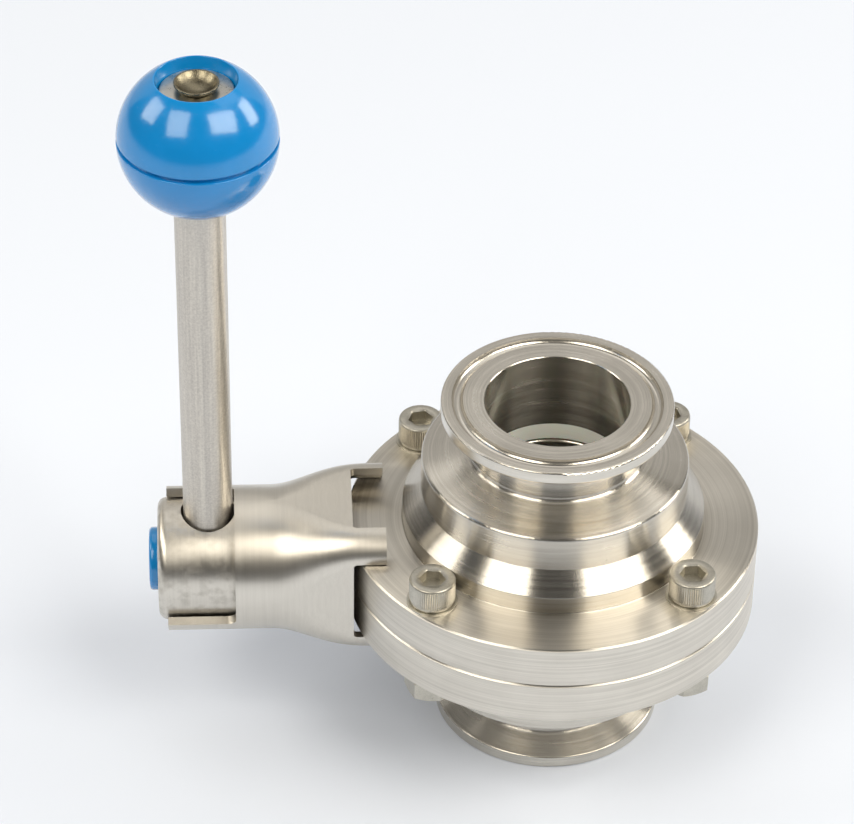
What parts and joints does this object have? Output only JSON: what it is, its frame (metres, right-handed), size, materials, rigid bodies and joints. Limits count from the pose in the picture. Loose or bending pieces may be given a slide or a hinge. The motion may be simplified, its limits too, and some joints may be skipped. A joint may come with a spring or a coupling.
{
  "type": "butterfly-type ball valve",
  "caption": "Hygienic clamp-ended ball valve in a two-piece bolted wafer body, turned a quarter turn by a rod handle with a ball knob.",
  "frame": {"origin": "valve centre, where the bore axis meets the stem axis", "axes": "+Z along the bore towards the upper ferrule and along the handle rod at rest, stem and hub towards -X, +Y completes the right-handed frame"},
  "size_m": [0.1379, 0.0906, 0.1678],
  "materials": {
    "turned_steel": "satin turned stainless steel with fine lathe rings",
    "sleeve_steel": "formed stainless steel sheet, brushed round the stem axis",
    "hub_steel": "turned stainless steel, satin",
    "rod_steel": "centreless ground stainless steel rod",
    "polished_steel": "polished stainless steel",
    "fastener_steel": "cold-headed stainless steel",
    "plate_steel": "pressed stainless steel",
    "seat_plastic": "white fluoropolymer, slightly waxy",
    "seal_rubber": "black sealing rubber",
    "knob_plastic": "glossy blue moulded plastic"
  },
  "bodies": {
    "valve_body": {"upper_body": "turned_steel", "lower_body": "turned_steel", "body_gasket": "seal_rubber", "upper_seat": "seat_plastic", "lower_seat": "seat_plastic", "upper_seat_o_ring": "seal_rubber", "lower_seat_o_ring": "seal_rubber", "body_screws": "fastener_steel", "body_washers": "fastener_steel", "body_nuts": "fastener_steel", "stem_thrust_washer": "seat_plastic", "stem_bush": "seat_plastic", "stem_spacer": "plate_steel", "sleeve_plate": "plate_steel", "sleeve_shim": "plate_steel", "handle_sleeve": "sleeve_steel"},
    "handle": {"stem": "polished_steel", "stem_o_rings": "seal_rubber", "handle_hub": "hub_steel", "hub_washer": "fastener_steel", "hub_screw": "fastener_steel", "hub_cap": "knob_plastic", "handle_rod": "rod_steel", "knob_lower": "knob_plastic", "knob_upper": "knob_plastic", "knob_plate": "plate_steel", "knob_bolt": "fastener_steel"},
    "ball_core": {"ball": "polished_steel"}
  },
  "joints": [
    {"name": "handle_turn", "type": "hinge", "parent": "valve_body", "child": "handle", "pos_m": [0, 0, 0], "axis": [1, 0, 0], "range_deg": [0, 90]},
    {"name": "ball_turn", "type": "hinge", "parent": "valve_body", "child": "ball_core", "pos_m": [0, 0, 0], "axis": [1, 0, 0], "range_deg": [0, 90]}
  ],
  "couplings": [
    {"joint": "ball_turn", "follows": "handle_turn", "ratio": 1}
  ]
}
